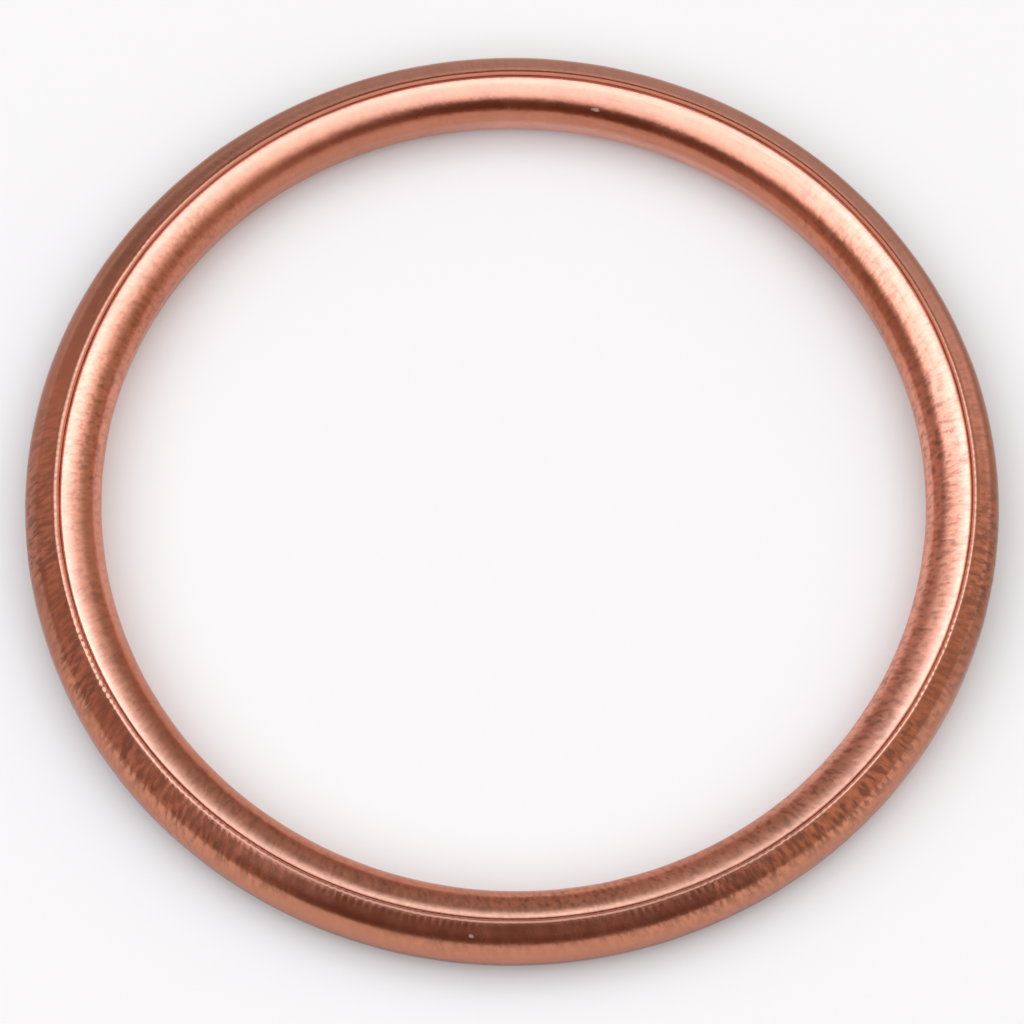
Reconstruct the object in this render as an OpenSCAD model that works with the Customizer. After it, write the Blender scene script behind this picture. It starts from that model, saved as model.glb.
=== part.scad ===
// Exhaust pipe gasket: a hollow ring rolled from one copper sheet.
// The axis of the ring is Z, and the origin is the middle of the plane it rests on.
// Seen in section, the sheet starts at the edge hidden under the lip. It goes over the crown,
// down the bore side, across the seat and up the rim side, and ends in the lip, which laps on top.

/* [Ring] */
// Diameter of the bore, at the straight stretch of the inner wall
bore_d = 38; // [24:0.5:80]
// Width of the rolled section, from the bore to the rim
section_w = 3.25; // [3:0.05:5]
// Height of the ring, from the seat to the crest of the lip
section_h = 4; // [3.4:0.1:5]
// Width of the flat land that the ring rests on
seat_w = 0.4; // [0.2:0.1:0.8]
// Height of the straight stretch of wall at the bore and at the rim
wall_run = 0.4; // [0.2:0.1:0.8]

/* [Sheet] */
// Thickness of the copper sheet
sheet_t = 0.2; // [0.15:0.05:0.3]
// Flat left on the cut edge of the lip, between its two rounded corners
edge_flat = 0.04; // [0.02:0.01:0.1]

/* [Lip] */
// Distance from the rim in to the end of the lip's face
lip_inset = 1.26; // [1.1:0.01:1.6]
// Slope of the lip's face against the level
lip_slope = 40; // [34:1:46]
// Outside radius of the shoulder between the rim and the lip's face
shoulder_r = 1.8; // [1.6:0.1:2.3]

/* [Lap] */
// Depth of the inner wall's crown below the crest of the lip
crown_drop = 0.05; // [0.02:0.01:0.3]
// Inside radius of the fold that turns the inner wall down under the lip
fold_r = 0.03; // [0.02:0.01:0.2]
// Hairline gap between the lip and the layer under it
lap_gap = 0.03; // [0.02:0.01:0.1]
// Overlap of the lip and the layer under it, along the slope
lap = 0.75; // [0.45:0.05:0.85]

/* [Hidden] */
$fn = 180;

// How far the straight line between two neighbouring points of a bend may leave its arc
arc_sag = 0.002;

bore_r = bore_d / 2;
rim_r = bore_r + section_w;
middle_r = bore_r + section_w / 2;

// Radius of the two rounded corners on the lip's cut edge
edge_r = (sheet_t - edge_flat) / 2;

// Where the lip's face and its cut edge would meet in a sharp corner
corner_r = rim_r - lip_inset;
corner_z = section_h + edge_r * (sin(lip_slope) + cos(lip_slope) - 1);

// The shoulder turns the upright rim wall over to the lip's slope, and the lip goes on straight
shoulder_turn = 90 - lip_slope;
lip_run = (lip_inset - shoulder_r * (1 - cos(shoulder_turn))) / sin(shoulder_turn);
shoulder_rise = shoulder_r * sin(shoulder_turn) + lip_run * cos(shoulder_turn);

// Heights of the upper and lower ends of the straight stretches of wall
wall_top = corner_z - shoulder_rise;
wall_foot = wall_top - wall_run;

// Each rounded corner of the section is two bends of this turn
half_turn = 45;

// From the seat's edge out to the foot of the straight wall, the same on both sides
foot_side = (section_w - seat_w) / 2;
foot_rise = wall_foot;

// The fold leaves the level crown and ends parallel to the lip, a hairline gap under it
fold_out_r = fold_r + sheet_t;
under_lip = corner_r * sin(lip_slope) + corner_z * cos(lip_slope) - sheet_t - lap_gap;
crown_z = section_h - crown_drop;
crown_r = (under_lip - fold_out_r - (crown_z - fold_out_r) * cos(lip_slope)) / sin(lip_slope);
crown_side = crown_r - bore_r;
crown_rise = crown_z - wall_top;

// The straight layer under the lip runs from the end of the fold to the hidden edge
fold_end_r = crown_r + fold_out_r * sin(lip_slope);
fold_end_z = crown_z - fold_out_r * (1 - cos(lip_slope));
fold_end_in = (fold_end_r - corner_r) * cos(lip_slope) + (corner_z - fold_end_z) * sin(lip_slope);
tuck_run = lap - fold_end_in;

// Radii of two equal bends that together go sideways by side and climb by rise
function bend_spread(side, rise) = (rise - side) / (2 * (2 * cos(half_turn) - 1));
function bend_by_wall(side, rise) = (side + rise) / 2 + bend_spread(side, rise);
function bend_by_level(side, rise) = (side + rise) / 2 - bend_spread(side, rise);

// The outside of the sheet from the middle of the seat, as flat stretches [run, 0]
// and bends [outside radius, turn] that all turn towards the hollow
foot_steps = [
    [seat_w / 2, 0],
    [bend_by_level(foot_side, foot_rise), half_turn],
    [bend_by_wall(foot_side, foot_rise), half_turn],
    [wall_run, 0]
];
rim_steps = concat(foot_steps, [
    [shoulder_r, shoulder_turn],
    [lip_run - edge_r, 0]
]);
bore_steps = concat(foot_steps, [
    [bend_by_wall(crown_side, crown_rise), half_turn],
    [bend_by_level(crown_side, crown_rise), half_turn],
    [fold_out_r, lip_slope],
    [tuck_run, 0]
]);

// A place on the sheet is [point on its outside, heading], and this one lies a share of a step further
function further(place, step, share) =
    let (from = place[1], to = from + share * step[1])
    step[1] == 0
        ? [place[0] + share * step[0] * [cos(from), sin(from)], from]
        : [place[0] + step[0] * [sin(to) - sin(from), cos(from) - cos(to)], to];

// How many equal parts an arc is drawn in
function arc_parts(radius, turn) = max(1, ceil(turn / (2 * acos(1 - arc_sag / radius))));

// The places along a list of steps
function places(steps, start, first = 0) =
    first == len(steps)
        ? [start]
        : let (step = steps[first], count = arc_parts(step[0], step[1]))
          concat(
              [for (i = [0:count - 1]) further(start, step, i / count)],
              places(steps, further(start, step, 1), first + 1)
          );

function outside(places) = [for (place = places) place[0]];
function inside(places) = [for (place = places) place[0] + sheet_t * [-sin(place[1]), cos(place[1])]];
function backwards(list) = [for (i = [len(list) - 1:-1:0]) list[i]];
function without_first(list) = [for (i = [1:len(list) - 1]) list[i]];
function without_last(list) = [for (i = [0:len(list) - 2]) list[i]];
function mirrored(points) = [for (point = points) [-point[0], point[1]]];

// The cut edge of the lip: a rounded corner on the outside of the sheet and one on the inside
function rounded_edge(place) =
    let (heading = place[1], across = [-sin(heading), cos(heading)], count = arc_parts(edge_r, 90))
    [for (corner = [0, 1], i = [0:count])
        let (angle = heading + 90 * (corner - 1 + i / count))
        place[0] + (corner == 0 ? edge_r : sheet_t - edge_r) * across
            + edge_r * [cos(angle), sin(angle)]];

// Both sides start level at the middle of the seat, which needs no point of its own
module sheet_section() {
    seat_middle = [[0, 0], 0];
    rim_side = without_first(places(rim_steps, seat_middle));
    bore_side = without_first(places(bore_steps, seat_middle));
    polygon(concat(
        backwards(mirrored(outside(bore_side))),
        outside(without_last(rim_side)),
        rounded_edge(rim_side[len(rim_side) - 1]),
        backwards(inside(without_last(rim_side))),
        mirrored(inside(bore_side))
    ));
}

module gasket_ring() {
    color([0.72, 0.45, 0.34])
        rotate_extrude()
            translate([middle_r, 0]) sheet_section();
}

gasket_ring();
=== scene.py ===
import bpy
import numpy as np
from mathutils import Matrix, Vector


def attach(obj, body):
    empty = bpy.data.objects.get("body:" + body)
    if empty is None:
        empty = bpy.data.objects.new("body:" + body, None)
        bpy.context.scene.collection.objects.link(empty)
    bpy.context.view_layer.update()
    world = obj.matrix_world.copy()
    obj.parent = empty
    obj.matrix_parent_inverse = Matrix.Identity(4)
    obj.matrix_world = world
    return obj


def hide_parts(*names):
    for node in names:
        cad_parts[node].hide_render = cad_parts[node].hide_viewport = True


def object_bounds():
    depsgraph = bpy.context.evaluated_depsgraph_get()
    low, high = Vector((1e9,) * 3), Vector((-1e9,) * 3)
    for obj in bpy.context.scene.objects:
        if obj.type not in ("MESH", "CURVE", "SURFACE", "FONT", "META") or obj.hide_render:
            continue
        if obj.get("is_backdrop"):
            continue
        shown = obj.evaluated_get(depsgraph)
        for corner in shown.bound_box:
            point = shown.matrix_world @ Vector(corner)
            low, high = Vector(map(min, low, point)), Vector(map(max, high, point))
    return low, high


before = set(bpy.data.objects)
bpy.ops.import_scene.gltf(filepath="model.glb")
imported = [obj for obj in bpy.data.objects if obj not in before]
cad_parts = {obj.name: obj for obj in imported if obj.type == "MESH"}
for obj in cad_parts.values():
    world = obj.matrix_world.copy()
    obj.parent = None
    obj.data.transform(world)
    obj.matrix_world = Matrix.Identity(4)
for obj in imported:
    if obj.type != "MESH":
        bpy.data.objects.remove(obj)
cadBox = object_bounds()  # straight after loading, this is the CAD's own box
mm = 0.001
print("frame loaded:", sorted(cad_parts))


# shader maths: a wrapped socket makes its own Math nodes, and node() makes every other node
class Value:
    def __init__(self, tree, socket):
        self.tree, self.socket = tree, socket

    def calc(self, operation, other, swap=False):
        pair = (other, self) if swap else (self, other)
        return node(self.tree, "Math", {"operation": operation}, {0: pair[0], 1: pair[1]})

    def __add__(self, other): return self.calc("ADD", other)
    def __radd__(self, other): return self.calc("ADD", other, True)
    def __sub__(self, other): return self.calc("SUBTRACT", other)
    def __rsub__(self, other): return self.calc("SUBTRACT", other, True)
    def __mul__(self, other): return self.calc("MULTIPLY", other)
    def __rmul__(self, other): return self.calc("MULTIPLY", other, True)
    def __truediv__(self, other): return self.calc("DIVIDE", other)
    def __rtruediv__(self, other): return self.calc("DIVIDE", other, True)
    def __pow__(self, other): return self.calc("POWER", other)
    def __neg__(self): return self.calc("MULTIPLY", -1.0)


def node(tree, kind, settings=None, inputs=None, out=0):
    made = tree.nodes.new("ShaderNode" + kind)
    for name, value in (settings or {}).items():
        setattr(made, name, value)
    for name, value in (inputs or {}).items():
        if isinstance(value, Value):
            tree.links.new(value.socket, made.inputs[name])
        else:
            made.inputs[name].default_value = value
    if isinstance(out, tuple):
        return [Value(tree, made.outputs[which]) for which in out]
    return Value(tree, made.outputs[out]) if made.outputs else None


# 0 below low, 1 above high, and a smooth S between them; where low is the higher number, it falls instead
def smoothStep(value, low, high):
    return node(value.tree, "MapRange", {"interpolation_type": "SMOOTHSTEP"},
                {"Value": value, "From Min": low, "From Max": high, "To Min": 0.0, "To Max": 1.0})


def mixColour(tree, factor, a, b, blend="MIX"):
    return node(tree, "Mix", {"data_type": "RGBA", "blend_type": blend}, {0: factor, 6: a, 7: b}, out=2)


# the rolled sheet in section, in millimetres: the same sizes as the part's source
sheet = {
    "boreRadius": 19.0,
    "sectionWidth": 3.25,
    "sectionHeight": 4.0,
    "seatWidth": 0.4,
    "wallRun": 0.4,  # the straight of each wall, at the bore and at the rim
    "thickness": 0.2,
    "lipInset": 1.26,  # from the rim in to the lip's cut edge
    "lipSlope": 40.0,  # degrees that the lip's face rises inwards
    "shoulderRadius": 1.8,  # outside radius of the bend between the outer wall and the lip
    "crownDrop": 0.05,  # how far the inner wall's crown stays under the lip
    "foldRadius": 0.03,  # inside radius of the fold that goes under the lip
    "lapGap": 0.03,
    "lap": 0.75,  # length of the sheet that lies hidden under the lip
}


# Two bends of 45 degrees that together go sideways by side and up by rise: the radius of the one by the wall,
# then that of the one by the level. Both are (side + rise) / 2, give or take (rise - side) / (4 cos 45 - 2).
def quarterBends(side, rise):
    spread = (rise - side) / (2 * (2 * np.cos(np.pi / 4) - 1))
    return (side + rise) / 2 + spread, (side + rise) / 2 - spread


# The outside of the sheet from the middle of the seat up each side, as (run or outside radius, turn in degrees).
# Every bend is tangent to the next step; the lip's straight run ends where its cut edge starts to round.
def sheetSteps(s, edgeRadius):
    slope = np.radians(s["lipSlope"])
    rimRadius = s["boreRadius"] + s["sectionWidth"]
    middle = s["boreRadius"] + s["sectionWidth"] / 2
    cornerR = rimRadius - s["lipInset"]  # where the lip's face and its cut edge would meet
    cornerZ = s["sectionHeight"] + edgeRadius * (np.sin(slope) + np.cos(slope) - 1)  # rounded, it is the section's top
    shoulderTurn = 90 - s["lipSlope"]
    lipLength = (s["lipInset"] - s["shoulderRadius"] * (1 - np.sin(slope))) / np.cos(slope)
    wallTop = cornerZ - s["shoulderRadius"] * np.cos(slope) - lipLength * np.sin(slope)
    wallFoot = wallTop - s["wallRun"]
    foldRadius = s["foldRadius"] + s["thickness"]
    underLip = cornerR * np.sin(slope) + cornerZ * np.cos(slope) - s["thickness"] - s["lapGap"]
    crownZ = s["sectionHeight"] - s["crownDrop"]
    crownR = (underLip - foldRadius - (crownZ - foldRadius) * np.cos(slope)) / np.sin(slope)
    foldEndR = crownR + foldRadius * np.sin(slope)
    foldEndZ = crownZ - foldRadius * (1 - np.cos(slope))
    foldEndIn = (foldEndR - cornerR) * np.cos(slope) + (cornerZ - foldEndZ) * np.sin(slope)
    footWall, footLevel = quarterBends((s["sectionWidth"] - s["seatWidth"]) / 2, wallFoot)
    crownWall, crownLevel = quarterBends(crownR - s["boreRadius"], crownZ - wallTop)
    foot = [(s["seatWidth"] / 2, 0), (footLevel, 45), (footWall, 45), (s["wallRun"], 0)]
    rim = foot + [(s["shoulderRadius"], shoulderTurn), (lipLength - edgeRadius, 0)]
    bore = foot + [(crownWall, 45), (crownLevel, 45), (foldRadius, s["lipSlope"]), (s["lap"] - foldEndIn, 0)]
    return rim, bore, middle


# Walks the steps from (0, 0), heading level. A straight run adds run times the heading, and a bend adds
# radius times (sin b - sin a, cos a - cos b) as the heading goes from a to b. Each step gets parts rows.
def walkSheet(steps, parts):
    side, height, heading, run = [np.zeros(1)], [np.zeros(1)], [np.zeros(1)], [np.zeros(1)]
    for (size, turn), count in zip(steps, parts):
        share = np.arange(1, count + 1) / count
        a = heading[-1][-1]
        b = a + np.radians(turn) * share
        if turn:
            along, up = size * (np.sin(b) - np.sin(a)), size * (np.cos(a) - np.cos(b))
        else:
            along, up = size * share * np.cos(a), size * share * np.sin(a)
        length = size * (np.radians(turn) if turn else 1) * share
        side.append(side[-1][-1] + along)
        height.append(height[-1][-1] + up)
        heading.append(b)
        run.append(run[-1][-1] + length)
    return [np.concatenate(part) for part in (side, height, heading, run)]


# How the ring leaves a true circle, in mm: a mean, and (waves round the ring, height, phase in degrees)
outOfRound = {
    "bore": (0.01, [(1, 0.080, 18.7), (2, 0.101, 150.7), (3, 0.007, 317.6), (4, 0.022, 231.8)]),
    "lip": (-0.123, [(1, 0.193, 22.4), (2, 0.044, 324.4), (3, 0.016, 310.4), (4, 0.006, 292.9)]),
    "rim": (-0.077, [(2, 0.055, 359.1), (3, 0.010, 3.2), (4, 0.012, 6.5)]),
}

ringMesh = {
    "fineColumns": 2040,  # the lip and its shoulder, where the forming ripples are
    "columns": 1020,
    "innerColumns": 340,  # inside the hollow, which nothing sees
    "boreParts": [1, 3, 5, 1, 7, 8, 4, 2],  # rows for each step of the section, from the seat up to the hidden edge
    "rimParts": [1, 3, 5, 1, 10, 4],  # and up to the lip
    "edgeCorners": [(0.14, 5), (0.05, 3)],  # the cut edge's outer and inner corner, as radius and parts
    "innerParts": 14,
    "lipRadius": 20.85,  # the lip's out-of-roundness holds here, and fades to the rim's and the bore's over these spans
    "rimSpan": 1.4,
    "boreSpan": 1.85,
    "patternRadius": 21.0,  # the circle on which every pattern is laid out
    "streakSlant": 0.17,  # how far a forming streak leans round the ring for each mm along the sheet
    "swell": (0.15, 1.4, 3.1, 3.15, 4.12),  # height of the inner wall's swell, and its runs: start, full, fade, end
    "closing": (0.026, 275, 70),  # the far stretch of the lip lies tight on the crown: depth, photo angle, half width
    "beadArcs": [(25, 9), (65, 17), (115, 22), (158, 9)],  # beaded arcs of the lip: angle in the photo, half width
    "arcFade": (0.6, 1.3),  # where an arc starts to fade and where it is gone, for each degree of its half width
    "patches": (-0.6, 1.3),  # the ripples come in patches, as their slow waves go from the first value to the second
    "lipWander": (0.012, 0.5, 0.6, 0.15),  # mm, then the share of slow waves, and of fast ones on and off the arcs
    "pressed": {  # depth in mm, then the mean and the swing of its waves
        "dents": (0.012, 0.5, 0.22),
        "ripples": (0.006, 0.6, 0.3),
        "beads": (0.030, 0.18, 0.3),
    },
    "setIn": {  # mm before the end of the lip's face, where each sets in and where it is full
        "ripples": (1.5, 0),
        "closing": (1.3, 0),
        "beads": (0.35, 0.05),
        "wander": (0.5, 0),
    },
    "waves": {  # fewest and most waves round the ring, lean for each mm along the sheet, how many are added, seed
        "dents": (5, 60, 1.6, 26, 11),
        "ripples": (250, 470, 0.8, 18, 5),
        "patches": (3, 14, 0.1, 7, 8),
        "beads": (360, 440, 0.1, 9, 21),
        "slowWander": (10, 60, 0.1, 16, 3),
        "fastWander": (250, 470, 0.1, 18, 6),
    },
}


# Sum of sin(waves * angle + slope * along + phase) over a drawn list, divided by the root of half its length, so
# that its spread is about 1. The draws are seeded, so the mesh is the same every time.
def ringWaves(angle, along, low, high, lean, count, seed):
    draw = np.random.default_rng(seed)
    total = 0
    for waves, slope, phase in zip(draw.integers(low, high, count), draw.uniform(-lean, lean, count),
                                   draw.uniform(0, 2 * np.pi, count)):
        total = total + np.sin(waves * angle + slope * along + phase)
    return total / np.sqrt(count / 2)


# A smooth step in numpy: 0 below low, 1 above high, and 3t^2 - 2t^3 between them
def ease(x, low, high):
    t = np.clip((x - low) / (high - low), 0, 1)
    return t * t * (3 - 2 * t)


# The sheet's place for each row (r, z, outward normal, run along the sheet) and each angle round the ring, in mm:
# the row's point turned about the axis, moved out by the ring's own out-of-roundness, pressed in along the
# normal by dents, forming ripples and the beads along the lip, out by the inner wall's swell, and slid along the
# sheet where the lip's cut edge wanders.
def ringSurface(row, columns, lipRun):
    angle = np.arange(columns) * 2 * np.pi / columns
    r, z, normalR, normalZ, run = [part[:, None] for part in row]
    turn = angle[None, :]
    m = ringMesh
    away = {}
    for name, (mean, parts) in outOfRound.items():
        away[name] = mean + sum(h * np.cos(n * turn + np.radians(p)) for n, h, p in parts)
    rimShare = np.clip((r - m["lipRadius"]) / m["rimSpan"], 0, 1)
    boreShare = np.clip((m["lipRadius"] - r) / m["boreSpan"], 0, 1)
    out = away["rim"] * rimShare + away["bore"] * boreShare + away["lip"] * (1 - rimShare) * (1 - boreShare)
    waves = lambda name, angle=turn, along=run * 0: ringWaves(angle, along, *m["waves"][name])

    # depth times (mean + swing times the sum of its waves)
    def pressed(name, **where):
        depth, mean, swing = m["pressed"][name]
        return depth * (mean + swing * waves(name, **where))

    # 0 up to where a form of the lip sets in, and 1 from where it is full
    def towardsLip(name):
        start, full = m["setIn"][name]
        return ease(run, lipRun - start, lipRun - full)

    # 1 on an arc round an angle of the photo, and 0 away from it
    def arc(middle, half):
        apart = np.abs((np.degrees(-turn) - middle + 180) % 360 - 180)
        start, end = m["arcFade"]
        return 1 - ease(apart, half * start, half * end)

    press = pressed("dents", along=run)
    swell, start, full, fade, end = m["swell"]
    press = press - swell * ease(run, start, full) * (1 - ease(run, fade, end))
    ripples = pressed("ripples", angle=turn + m["streakSlant"] * run / m["patternRadius"], along=run)
    press = press + ripples * towardsLip("ripples") * ease(waves("patches"), *m["patches"])
    closing, middle, half = m["closing"]
    press = press + closing * arc(middle, half) * towardsLip("closing")
    arcs = sum(arc(middle, half) for middle, half in m["beadArcs"])
    press = press + pressed("beads") * towardsLip("beads") * arcs
    length, slow, onArcs, offArcs = m["lipWander"]
    wander = waves("slowWander") * slow + waves("fastWander") * (arcs * onArcs + offArcs)
    slide = length * towardsLip("wander") * wander
    radius = r + out - press * normalR - slide * normalZ
    height = np.clip(z - press * normalZ + slide * normalR, 0, cadBox[1][2] / mm)
    return np.stack([radius * np.cos(turn), radius * np.sin(turn), height], -1)


# Quads between neighbouring rows of a grid that closes round the ring: corner (i, j) has number first + i * columns + j
def gridFaces(first, rows, columns):
    i, j = np.meshgrid(np.arange(rows - 1), np.arange(columns), indexing="ij")
    k = (j + 1) % columns
    quads = np.stack([i * columns + j, i * columns + k, (i + 1) * columns + k, (i + 1) * columns + j], -1)
    return first + quads.reshape(-1, 4)


# Triangles between a row of few columns and one with a whole number of times as many: each coarse edge
# takes a fan to the fine points over it, half from its start and half from its end. Where the coarse row comes
# second, flip turns the fans over.
def fanFaces(coarse, coarseColumns, fine, fineColumns, flip):
    times = fineColumns // coarseColumns
    cell = np.arange(coarseColumns)
    start, end = coarse + cell, coarse + (cell + 1) % coarseColumns
    q = np.arange(times)
    a = fine + (cell[:, None] * times + q) % fineColumns
    b = fine + (cell[:, None] * times + q + 1) % fineColumns
    tip = np.where(q < times // 2, start[:, None], end[:, None])
    middle = fine + (cell * times + times // 2) % fineColumns
    fans = np.concatenate([np.stack([tip, b, a], -1).reshape(-1, 3), np.stack([start, end, middle], -1)])
    return fans[:, ::-1] if flip else fans


# Three grids that close round the ring, joined by fans: the lower part of the outside, its upper part with the lip's
# cut edge in more columns, and the inside of the hollow in fewer
def makeRing():
    m = ringMesh
    (outerCorner, outerParts), (innerCorner, innerParts) = m["edgeCorners"]
    rimSteps, boreSteps, middle = sheetSteps(sheet, outerCorner)
    side, height, heading, run = walkSheet(boreSteps, m["boreParts"])
    hiddenRun = run[-1]  # the pattern's run starts at the hidden edge under the lip
    bore = np.stack([middle - side, height, -np.sin(heading), -np.cos(heading), hiddenRun - run])[:, ::-1]
    side, height, heading, run = walkSheet(rimSteps, m["rimParts"])
    rim = np.stack([middle + side, height, np.sin(heading), -np.cos(heading), hiddenRun + run])
    lipRun = rim[4, -1]
    split = sum(m["rimParts"][:4])  # the last row of the straight wall at the rim
    lower = np.concatenate([bore, rim[:, 1:split + 1]], 1)
    # the cut edge of the lip: a rounded corner on the outside of the sheet, then one on the inside
    end = rim[:, -1]
    tangent = np.array([-end[3], end[2]])
    normal = end[2:4]
    corner = lambda depth, ahead, radius, a, start: np.stack([
        end[0] - depth * normal[0] + ahead * tangent[0] + radius * (np.cos(a) * normal[0] + np.sin(a) * tangent[0]),
        end[1] - depth * normal[1] + ahead * tangent[1] + radius * (np.cos(a) * normal[1] + np.sin(a) * tangent[1]),
        np.full(len(a), normal[0]), np.full(len(a), normal[1]), start + radius * (a - a[0])])
    edge = np.concatenate([
        corner(outerCorner, 0, outerCorner, np.linspace(0, np.pi / 2, outerParts + 1), lipRun)[:, 1:],
        corner(sheet["thickness"] - innerCorner, outerCorner - innerCorner, innerCorner,
               np.linspace(np.pi / 2, np.pi, innerParts + 1), lipRun + outerCorner * np.pi / 2)], 1)
    inner = lambda rows: np.stack([rows[0] - sheet["thickness"] * rows[2], rows[1] - sheet["thickness"] * rows[3],
                                   rows[2], rows[3], rows[4]])
    upper = np.concatenate([rim[:, split + 1:], edge, inner(rim[:, -3:-1][:, ::-1])], 1)
    # the inside of the hollow, back from the lip to the hidden edge
    outside = np.concatenate([bore, rim[:, 1:]], 1)
    back = np.linspace(rim[4, -4], 0, m["innerParts"])
    hollow = inner(np.stack([np.interp(back, outside[4], outside[i]) for i in range(4)] + [back]))

    blocks = [(lower, m["columns"]), (upper, m["fineColumns"]), (hollow, m["innerColumns"])]
    points, places, firsts, count = [], [], [], 0
    for rows, columns in blocks:
        points.append(ringSurface(rows, columns, lipRun).reshape(-1, 3))
        along = rows[4][:, None] + np.zeros(columns)
        angle = np.arange(columns) * 2 * np.pi / columns + m["streakSlant"] * along / m["patternRadius"]
        radius = m["patternRadius"]
        places.append(np.stack([radius * np.cos(angle), radius * np.sin(angle), along], -1).reshape(-1, 3))
        firsts.append(count)
        count += len(points[-1])
    last = [firsts[i] + (blocks[i][0].shape[1] - 1) * blocks[i][1] for i in range(3)]
    faces = [gridFaces(firsts[i], blocks[i][0].shape[1], blocks[i][1]) for i in range(3)]
    fans = [
        fanFaces(last[0], m["columns"], firsts[1], m["fineColumns"], False),
        fanFaces(firsts[2], m["innerColumns"], last[1], m["fineColumns"], True),
        fanFaces(last[2], m["innerColumns"], firsts[0], m["columns"], False),
    ]
    quads, triangles = np.concatenate(faces), np.concatenate(fans)

    mesh = bpy.data.meshes.new("gasketRing")
    sizes = np.concatenate([np.full(len(quads), 4), np.full(len(triangles), 3)])
    mesh.vertices.add(count)
    mesh.vertices.foreach_set("co", (np.concatenate(points) * mm).ravel())
    mesh.loops.add(int(sizes.sum()))
    mesh.loops.foreach_set("vertex_index", np.concatenate([quads.ravel(), triangles.ravel()]))
    mesh.polygons.add(len(sizes))
    mesh.polygons.foreach_set("loop_start", np.concatenate([[0], np.cumsum(sizes)[:-1]]))
    mesh.update(calc_edges=True)
    mesh.polygons.foreach_set("use_smooth", np.ones(len(sizes), bool))
    place = mesh.attributes.new("sheetPlace", "FLOAT_VECTOR", "POINT")
    place.data.foreach_set("vector", np.concatenate(places).astype(np.float32).ravel())
    ring = bpy.data.objects.new("gasketRing", mesh)
    bpy.context.scene.collection.objects.link(ring)
    print("ring:", count, "points,", 2 * len(quads) + len(triangles), "triangles, lip at run", round(float(lipRun), 3),
          "mesh valid:", not mesh.validate())
    return ring, float(lipRun)


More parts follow.
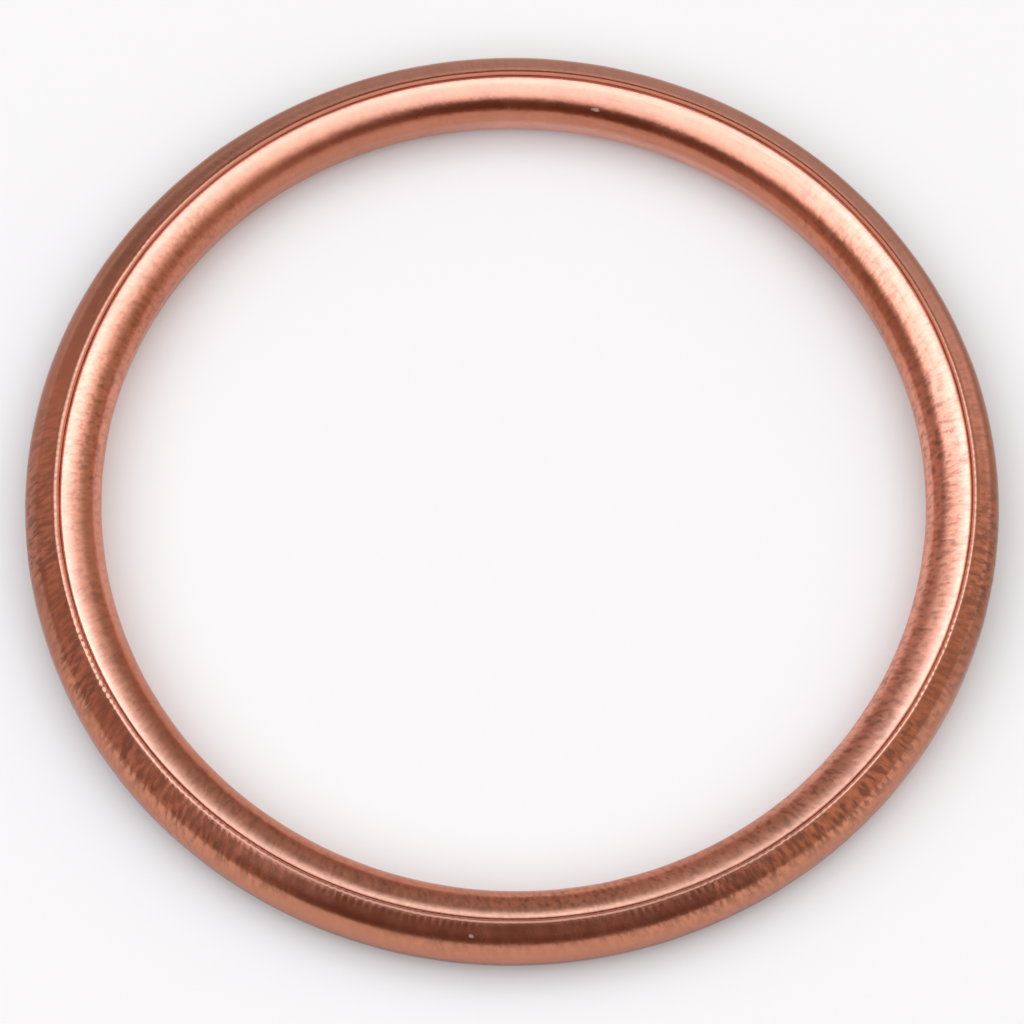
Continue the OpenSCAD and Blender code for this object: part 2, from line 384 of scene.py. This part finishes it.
copper = {
    "crestHighlightColour": (0.76, 0.41, 0.315, 1),  # painted highlight: brighter along the top, where the softbox is mirrored
    "crestSideHighlightColour": (0.90, 0.50, 0.39, 1),  # the painted highlight is most at the left and right
    "crestNearShadedColour": (0.46, 0.235, 0.17, 1),  # and least in front, where the painted highlight is dimmed
    "crownColour": (0.70, 0.325, 0.235, 1),
    "boreShadedColour": (0.50, 0.18, 0.105, 1),  # painted shade: darker and redder half way down the inner wall, where it mirrors the floor
    "boreSideShadedColour": (0.66, 0.285, 0.20, 1),  # less painted shade at the right and left
    # painted reflection of the bright floor: paler from low on the inner wall round the seat
    "footReflectionColour": (0.80, 0.43, 0.34, 1),
    "footFarReflectionColour": (0.62, 0.27, 0.17, 1),  # less painted reflection behind on the right and left, beside the rim's darker stretches
    # painted shade on the outer wall, darker to dim the floor mirrored in it
    "rimShadedColour": (0.35, 0.125, 0.072, 1),
    "rimNearShadedColour": (0.52, 0.20, 0.115, 1),  # the near stretch of the outer wall, with lighter painted shade
    "rimSideShadedColour": (0.275, 0.08, 0.03, 1),  # deeper painted shade on two stretches, behind on the right and on the left
    "skirtShadeColour": (0.20, 0.085, 0.06, 1),  # painted shade in front, under the widest level: the ring's shadow on the floor as mirrored there
    "lipColour": (0.62, 0.245, 0.157, 1),  # the lip's face
    "lipFarShadedColour": (0.38, 0.165, 0.11, 1),  # and its far stretch, darker with painted shade
    "endShadedColour": (0.34, 0.155, 0.11, 1),  # painted shade that dims the highlight on the lip's rounded end, near and far
    "endFarShadedColour": (0.255, 0.085, 0.045, 1),
    "endSideHighlightColour": (0.62, 0.31, 0.225, 1),  # and a painted highlight on it at the left and right
    "edgeColour": (0.55, 0.19, 0.115, 1),  # the sheared edge below it
    "grazingTint": (0.80, 0.58, 0.52, 1),
    "streakShade": 0.52,  # how much each mark takes from the colour
    "blotchShade": 0.14,
    "speckShade": 0.26,
    "spotShade": 0.25,
    "lineShade": 0.12,
    "streakLight": 0.28,  # and what the pale streaks add, a painted highlight
    "speckVariation": 0.8,  # how far the colour goes up and down with each noise
    "blotVariation": 0.18,
    "cloudVariation": 0.12,
    "crownRoughness": 0.24,
    "rimRoughness": 0.23,
    "edgeRoughness": 0.7,
    "edgeMetal": 0.2,  # the sheared edge scatters
    "oilFilm": 0.4,
    "oilRoughness": 0.22,
    "roughVariation": 0.12,
    "streakRoughness": 0.1,  # what a dark streak and a scuff add
    "scuffRoughness": 0.25,
    "streakHeight": 0.011,  # mm of relief for each unit of the noise
    "markHeight": 0.0077,
    "mottleHeight": 0.014,
    "speckHeight": 0.007,
    "grainHeight": 0.002,
    "streakRelief": 0.15,  # the share of the streaks' relief, and of the mottle's, that is everywhere
    "mottleRelief": 0.2,
    "bands": {  # mm along the sheet from its hidden edge, where each band sets in and where it is full
        "crest": (1.5, 0.95),
        "bore": (1.5, 2.4),
        "foot": (3.2, 3.8),
        "outer": (6.4, 7.4),  # the side of the rim
        "skirtFoot": (7.4, 8.9),
        "skirtTop": (9.52, 9.25),
        "lip": (11.0, 11.5),
        "streakFree": (11.2, 10.3),
        "specks": (1.0, 1.6),
        "spots": (1.6, 2.4),
    },
    "lipBands": {  # the same in mm past the end of the lip's face
        "front": (-0.25, -0.05),
        "marks": (0.02, -0.12),
        "end": (-0.12, 0.03),
        "edge": (0.10, 0.20),
    },
    "endShift": (0.12, 0.06),  # how much further on the lip's end, with its painted shade, sets in and is full on its far stretch
    "aside": (0.15, 0.75),  # the ring's left and right: none and full, by the squared cosine of the angle
    "noises": {  # scale for each mm round the ring, its share along the sheet, and detail
        "streak": (2.7, 0.3),
        "mottle": (1.7, 0.75, 3.0),
        "cloud": (0.28, 0.6),
        "grain": (8.0, 0.8, 3.0),
        "blot": (0.8, 0.5),
        "speck": (4.2, 0.6, 3.0),
        "mark": (4.8, 0.34, 1.0),
        "line": (0.4, 13.0),
    },
    "cuts": {  # values of the noise between which each mark goes from none to full
        "patch": (0.36, 0.52),
        "darkMark": (0.50, 0.40),
        "darkStreak": (0.46, 0.36),
        "paleMark": (0.54, 0.63),
        "blotch": (0.5, 0.34),
        "speck": (0.5, 0.38),
        "spot": (0.40, 0.31),
        "line": (0.47, 0.36),
        "scuff": (1.0, 0.45),  # here a distance from its middle, with noise
    },
    "darkMarks": 0.8,  # the marks' and the streaks' share in the dark streaks
    "darkStreaks": 0.12,
    "marksBehind": 0.15,  # the least of the marks away from the streaked stretch, between their patches and on the end
    "marksBetween": 0.5,
    "marksOnEnd": 0.25,
    "skirtWaver": 0.3,  # mm that the painted shade's top goes up and down
    "scuffs": [(281.5, 2.25, 0.26, 0.10), (94.8, 11.4, 0.12, 0.12)],  # angle in the photo, run, half width, half length
    "scuffColour": (0.62, 0.50, 0.46, 1),
    "scuffShare": 0.8,
    "scuffWaver": 1.6,
    # stretches of the ring: angle in the photo, degrees to which it is full and past which it is none, and its share
    "crestNear": [(90, 36, 72, 1)],
    "boreSide": [(16, 22, 44, 1), (180, 14, 28, 0.6)],
    "footFar": [(235, 18, 36, 1), (335, 14, 28, 1)],
    "rimNear": [(90, 52, 84, 1)],
    "rimSide": [(340, 28, 50, 1), (234, 14, 30, 1)],
    "lipFar": [(270, 48, 78, 1)],
    "skirt": [(105, 42, 70, 0.85)],
    "endFar": [(275, 55, 80, 1)],
    "endDull": [(290, 30, 65, 1)],  # no painted highlight at the side of the lip's end here
    "streaked": [(90, 72, 112, 1)],
    "streakGap": [(97, 14, 34, 0.75)],  # in front the streaks are weak
    "streakFree": [(62, 24, 40, 0.75), (132, 26, 42, 0.75)],  # few streaks low on the outer wall
    "soiled": [(38, 34, 60, 0.7), (205, 14, 30, 0.35), (110, 20, 40, 0.4), (335, 14, 28, 0.4), (172, 16, 32, 0.3)],
    "spotted": [(193, 10, 20, 0.8)],
    "lined": [(322, 26, 50, 0.7)],
    "dull": [(228, 14, 36, 0.1), (42, 20, 42, 0.1)],  # rougher stretches of the inner wall
    "uneven": [(38, 24, 46, 0.6), (215, 24, 44, 0.6), (265, 22, 44, 0.5), (325, 24, 44, 0.5)],
    "everywhere": {"soiled": 0.15, "spotted": 0.15, "lined": 0.3, "uneven": 0.4},  # added all round the ring
}


# The rolled sheet's copper. Patterns follow the sheet through sheetPlace: a circle of one radius for the angle, and
# the run along the sheet, which is 0 at the hidden edge under the lip and lipRun where the lip's face ends.
def makeCopper(lipRun):
    material = bpy.data.materials.new("rolledCopper")
    material.use_nodes = True
    tree = material.node_tree
    tree.nodes.clear()
    c = copper
    place = node(tree, "Attribute", {"attribute_name": "sheetPlace"}, out="Vector")
    run = node(tree, "SeparateXYZ", None, {0: place}, out=2)
    x, y = node(tree, "SeparateXYZ", None, {0: node(tree, "TexCoord", out="Object")}, out=(0, 1))
    radius = (x * x + y * y) ** 0.5

    # the sum of a list of stretches: each is its share within full degrees of its angle, and 0 past none degrees
    def stretch(name):
        total = c["everywhere"].get(name, 0)
        for angle, full, none, share in c[name]:
            a = np.radians(angle)
            mask = smoothStep((x * float(np.cos(a)) - y * float(np.sin(a))) / radius,
                              float(np.cos(np.radians(none))), float(np.cos(np.radians(full))))
            total = mask * share + total
        return total

    def noise(scale, along, detail=2.0):
        grid = node(tree, "VectorMath", {"operation": "MULTIPLY"}, {0: place, 1: (1, 1, along)})
        return node(tree, "TexNoise", None, {"Vector": grid, "Scale": scale, "Detail": detail, "Roughness": 0.5})

    def band(name, at=run):
        return smoothStep(at, *c["bands"][name])

    def lipBand(name):
        start, full = c["lipBands"][name]
        return smoothStep(run, lipRun + start, lipRun + full)

    def cut(name, value):
        return smoothStep(value, *c["cuts"][name])

    # base where the mask is 0, and 1 where it is 1
    def atLeast(base, mask):
        return mask * (1 - base) + base

    streak, mottle, cloud, grain, blot, speck, mark, line = [noise(*size) for size in c["noises"].values()]
    outer = band("outer")
    inner = 1 - outer
    edge = lipBand("edge")
    aside = smoothStep(x * x / radius / radius, *c["aside"])
    # painted highlight along the crest: brightest at the left and right, dimmed in front
    crestHighlightColour = mixColour(tree, aside, c["crestHighlightColour"], c["crestSideHighlightColour"])
    crestHighlightColour = mixColour(tree, stretch("crestNear"), crestHighlightColour, c["crestNearShadedColour"])
    colour = mixColour(tree, band("crest"), c["crownColour"], crestHighlightColour)
    # painted shade half way down the inner wall, lighter at the right and left
    boreShadedColour = mixColour(tree, stretch("boreSide"), c["boreShadedColour"], c["boreSideShadedColour"])
    colour = mixColour(tree, band("bore"), colour, boreShadedColour)
    # painted reflection of the floor, paler from low on the inner wall round the seat
    footReflectionColour = mixColour(tree, stretch("footFar"), c["footReflectionColour"], c["footFarReflectionColour"])
    colour = mixColour(tree, band("foot"), colour, footReflectionColour)
    # painted shade on the outer wall: lighter on the near stretch, deeper behind on the right and left
    rimShadedColour = mixColour(tree, stretch("rimNear"), c["rimShadedColour"], c["rimNearShadedColour"])
    rimShadedColour = mixColour(tree, stretch("rimSide"), rimShadedColour, c["rimSideShadedColour"])
    # the lip's face, darker on its far stretch with painted shade
    lipColour = mixColour(tree, stretch("lipFar"), c["lipColour"], c["lipFarShadedColour"])
    rimShadedColour = mixColour(tree, band("lip"), rimShadedColour, lipColour)
    # painted shade low on the outer wall in front, with a wavering top
    skirt = band("skirtTop", run + (cloud - 0.5) * c["skirtWaver"]) * band("skirtFoot") * stretch("skirt")
    rimShadedColour = mixColour(tree, skirt, rimShadedColour, c["skirtShadeColour"])
    colour = mixColour(tree, outer, colour, rimShadedColour)
    colour = mixColour(tree, lipBand("front"), colour, c["lipColour"])
    # painted shade dimming the highlight on the lip's rounded end, with a painted highlight at the left and right
    far = stretch("endFar")
    endShadedColour = mixColour(tree, far, c["endShadedColour"], c["endFarShadedColour"])
    endShadedColour = mixColour(tree, aside * (1 - stretch("endDull")), endShadedColour, c["endSideHighlightColour"])
    start, full = [far * shift + (lipRun + at) for at, shift in zip(c["lipBands"]["end"], c["endShift"])]
    rounded = smoothStep(run, start, full)
    colour = mixColour(tree, rounded, colour, endShadedColour)
    colour = mixColour(tree, edge, colour, c["edgeColour"])

    # forming streaks: strong on the near sides of the outer wall, weak in front and behind; their dark and pale marks
    # in the colour are painted shade and painted highlight of the streaks' relief, along with the bump
    near = stretch("streaked") * (1 - stretch("streakGap"))
    marks = atLeast(c["marksBehind"], near) * atLeast(c["marksBetween"], cut("patch", cloud))
    marks = marks * atLeast(c["marksOnEnd"], lipBand("marks")) * outer
    marks = marks * (1 - band("streakFree") * stretch("streakFree"))
    dark = (cut("darkMark", mark) * c["darkMarks"] + cut("darkStreak", streak) * c["darkStreaks"]) * marks
    light = cut("paleMark", mark) * marks
    soiled = stretch("soiled") * inner
    blotches = cut("blotch", mottle) * soiled
    specks = cut("speck", speck) * soiled * band("specks")
    spots = cut("spot", grain) * inner * stretch("spotted") * band("spots")
    lines = cut("line", line) * inner * stretch("lined")
    shade = (1 - dark * c["streakShade"] - blotches * c["blotchShade"] + soiled * c["blotchShade"]
             - specks * c["speckShade"] - spots * c["spotShade"] - lines * c["lineShade"] + light * c["streakLight"]
             + (speck - 0.5) * soiled * c["speckVariation"] + (blot - 0.5) * c["blotVariation"]
             + (cloud - 0.5) * c["cloudVariation"])
    shade3 = node(tree, "CombineColor", None, {0: shade, 1: shade, 2: shade})
    colour = mixColour(tree, 1.0, colour, shade3, "MULTIPLY")

    # two pale scuffs
    scuff = 0
    for angle, at, width, length in c["scuffs"]:
        turn = np.radians(-angle) + ringMesh["streakSlant"] * at / ringMesh["patternRadius"]
        reach = ringMesh["patternRadius"]
        middle = (reach * float(np.cos(turn)), reach * float(np.sin(turn)), at)
        away = node(tree, "VectorMath", {"operation": "SUBTRACT"}, {0: place, 1: middle})
        away = node(tree, "VectorMath", {"operation": "MULTIPLY"}, {0: away, 1: (1 / width, 1 / width, 1 / length)})
        distance = node(tree, "VectorMath", {"operation": "LENGTH"}, {0: away}, out="Value")
        scuff = cut("scuff", distance + (grain - 0.5) * c["scuffWaver"]) + scuff
    colour = mixColour(tree, scuff * c["scuffShare"], colour, c["scuffColour"])

    roughness = (c["crownRoughness"] + outer * (c["rimRoughness"] - c["crownRoughness"])
                 + (cloud + mottle - 1) * c["roughVariation"]
                 + dark * c["streakRoughness"] + scuff * c["scuffRoughness"] + inner * stretch("dull"))
    roughness = roughness + edge * (c["edgeRoughness"] - roughness)
    streakRelief = outer * near + c["streakRelief"]
    mottleRelief = inner * stretch("uneven") + c["mottleRelief"]
    height = ((streak * c["streakHeight"] + mark * c["markHeight"]) * streakRelief
              + (mottle * c["mottleHeight"] + speck * c["speckHeight"]) * mottleRelief + grain * c["grainHeight"])
    bump = node(tree, "Bump", None, {"Strength": 1.0, "Distance": mm, "Height": height})
    shader = node(tree, "BsdfPrincipled", None,
                  {"Base Color": colour, "Metallic": 1 - edge * (1 - c["edgeMetal"]), "Roughness": roughness,
                   "Normal": bump, "Specular Tint": c["grazingTint"], "Coat Weight": c["oilFilm"],
                   "Coat Roughness": c["oilRoughness"]})
    node(tree, "OutputMaterial", None, {"Surface": shader})
    print("copper made:", len(tree.nodes), "nodes")
    return material


ring, lipRun = makeRing()
ring.data.materials.append(makeCopper(lipRun))
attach(ring, "root")
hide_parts("gasket_ring")

stage = {
    "floorColour": (0.85, 0.85, 0.85, 1),
    "floorHalf": 3.2,  # metres
    "floorTop": -0.00002,  # a hair under the ring's seat
    "softboxHeight": 1.2,
    "left": 1.05, "right": 0.70, "front": 1.02, "back": 0.42,  # the softbox's reach, for each metre of its height
    "softboxRadiance": 0.75,
    "softboxColour": (0.95, 1.14, 1.28),
    "glow": 0.85,  # the ceiling's glow round the softbox
    "glowColour": (0.98, 1.05, 1.10, 1),
    "glowMiddle": (-0.125, -0.30),  # on the ceiling, for each metre of its height
    "glowReach": (1.025, 0.95),
    "glowFade": (0.82, 1.2),  # where the glow starts to fade and where it is gone, for each reach
    "slowFade": (0.12, 0.7),  # how much sooner and how much later that is where it fades slowly
    "slowRight": (0.1, 0.8),  # and where that is: to the right, and behind on the left
    "slowLeft": (0.25, 0.7),
    "slowBack": (0.1, 0.6),
    "slowShare": 0.8,
    "leftColour": (0.50, 0.36, 0.30, 1),
    "rightColour": (0.50, 0.38, 0.29, 1),
    "backColour": (0.34, 0.255, 0.205, 1),
    "frontColour": (0.155, 0.075, 0.05, 1),
    "sideFade": (-0.3, 0.6),  # where each colour sets in and is full, by the way to the right or towards the camera
    "backFade": (-0.5, -0.9),
    "frontFade": (0.55, 0.88),
    "bandFoot": (0.28, 0.42),  # a darker band on the left, by the way up
    "bandTop": (0.60, 0.50),
    "bandLeft": (-0.2, -0.6),
    "bandShare": 0.6,
}


def makeStage():
    s = stage
    half = s["floorHalf"]
    mesh = bpy.data.meshes.new("floor")
    corners = [(x * half, y * half, s["floorTop"]) for x, y in ((-1, -1), (1, -1), (1, 1), (-1, 1))]
    mesh.from_pydata(corners, [], [(0, 1, 2, 3)])
    floor = bpy.data.objects.new("floor", mesh)
    bpy.context.scene.collection.objects.link(floor)
    material = bpy.data.materials.new("paleFloor")
    material.use_nodes = True
    tree = material.node_tree
    tree.nodes.clear()
    shader = node(tree, "BsdfDiffuse", None, {"Color": s["floorColour"]})
    node(tree, "OutputMaterial", None, {"Surface": shader})
    mesh.materials.append(material)
    floor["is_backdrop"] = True

    high = s["softboxHeight"]
    width, depth = (s["left"] + s["right"]) * high, (s["front"] + s["back"]) * high
    lamp = bpy.data.lights.new("softbox", "AREA")
    lamp.shape, lamp.size, lamp.size_y = "RECTANGLE", width, depth
    lamp.energy = s["softboxRadiance"] * np.pi * width * depth  # watts for that radiance
    lamp.color = s["softboxColour"]
    softbox = bpy.data.objects.new("softbox", lamp)
    softbox.location = ((s["right"] - s["left"]) * high / 2, (s["back"] - s["front"]) * high / 2, high)
    bpy.context.scene.collection.objects.link(softbox)

    # the room: beige to the sides, dimmer behind the ring, dark on the camera's side, and a ceiling that glows
    # round the softbox, with a slow fade on the right and behind
    world = bpy.data.worlds.new("room")
    bpy.context.scene.world = world
    world.use_nodes = True
    tree = world.node_tree
    tree.nodes.clear()
    x, y, up = node(tree, "SeparateXYZ", None, {0: node(tree, "TexCoord", out="Generated")}, out=(0, 1, 2))
    level = (x * x + y * y + 0.0001) ** 0.5  # never 0, straight up either
    towards, right = -y / level, x / level
    fade = lambda name, value: smoothStep(value, *s[name])
    colour = mixColour(tree, fade("sideFade", right), s["leftColour"], s["rightColour"])
    colour = mixColour(tree, fade("backFade", towards), colour, s["backColour"])
    band = fade("bandFoot", up) * fade("bandTop", up) * fade("bandLeft", right)
    colour = mixColour(tree, fade("frontFade", towards) + band * s["bandShare"], colour, s["frontColour"])
    # out is 1 on the glow's outline: out^4 = across^4 + deep^4, both from its middle and in its reaches
    steep = node(tree, "Math", {"operation": "MAXIMUM"}, {0: up, 1: 0.05})  # never 0 or less, because it divides
    (middleX, middleY), (reachX, reachY) = s["glowMiddle"], s["glowReach"]
    across, deep = (x / steep - middleX) / reachX, (y / steep - middleY) / reachY
    out = ((across * across) ** 2 + (deep * deep) ** 2) ** 0.25
    slow = fade("slowRight", right) + fade("slowLeft", -right) * fade("slowBack", -towards) * s["slowShare"]
    (start, end), (sooner, later) = s["glowFade"], s["slowFade"]
    glow = (1 - smoothStep(out, start - slow * sooner, end + slow * later)) * s["glow"]
    glow3 = node(tree, "CombineColor", None, {0: glow, 1: glow, 2: glow})
    glow3 = mixColour(tree, 1.0, glow3, s["glowColour"], "MULTIPLY")
    colour = mixColour(tree, 1.0, colour, glow3, "ADD")
    light = node(tree, "Background", None, {"Color": colour, "Strength": 1.0})
    node(tree, "OutputWorld", None, {"Surface": light})


def makeCamera():
    # The photo's view: 68.1 degrees above the floor from 0.4 m, level, the ring's middle just off the frame's
    view = {"elevation": 68.13, "distance": 0.4, "pixelsPerMm": 21.885, "middle": (511.776, 502.821)}
    image = 1024
    rise = np.radians(view["elevation"])
    back = Vector((0, -np.cos(rise), np.sin(rise)))
    right, up = Vector((1, 0, 0)), Vector((0, np.sin(rise), np.cos(rise)))
    pivot = Vector((0, 0, sheet["sectionHeight"] / 2 * mm))
    scale = mm / view["pixelsPerMm"]
    target = pivot + right * ((image / 2 - view["middle"][0]) * scale) + up * ((view["middle"][1] - image / 2) * scale)
    data = bpy.data.cameras.new("camera")
    data.sensor_width = 36
    data.lens = view["pixelsPerMm"] / mm * view["distance"] / image * data.sensor_width
    data.clip_start, data.clip_end = 0.01, 20
    camera = bpy.data.objects.new("camera", data)
    place = pivot + back * view["distance"]
    forward = (target - place).normalized()
    sideways = forward.cross(up).normalized()
    turned = Matrix([sideways, sideways.cross(forward), -forward]).transposed().to_4x4()
    camera.matrix_world = Matrix.Translation(place) @ turned
    bpy.context.scene.collection.objects.link(camera)
    bpy.context.scene.camera = camera


makeStage()
makeCamera()
bpy.context.scene.view_settings.view_transform = "Standard"
print("stage and camera made")

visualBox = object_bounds()
{"cad": [list(corner) for corner in cadBox], "visual": [list(corner) for corner in visualBox]}
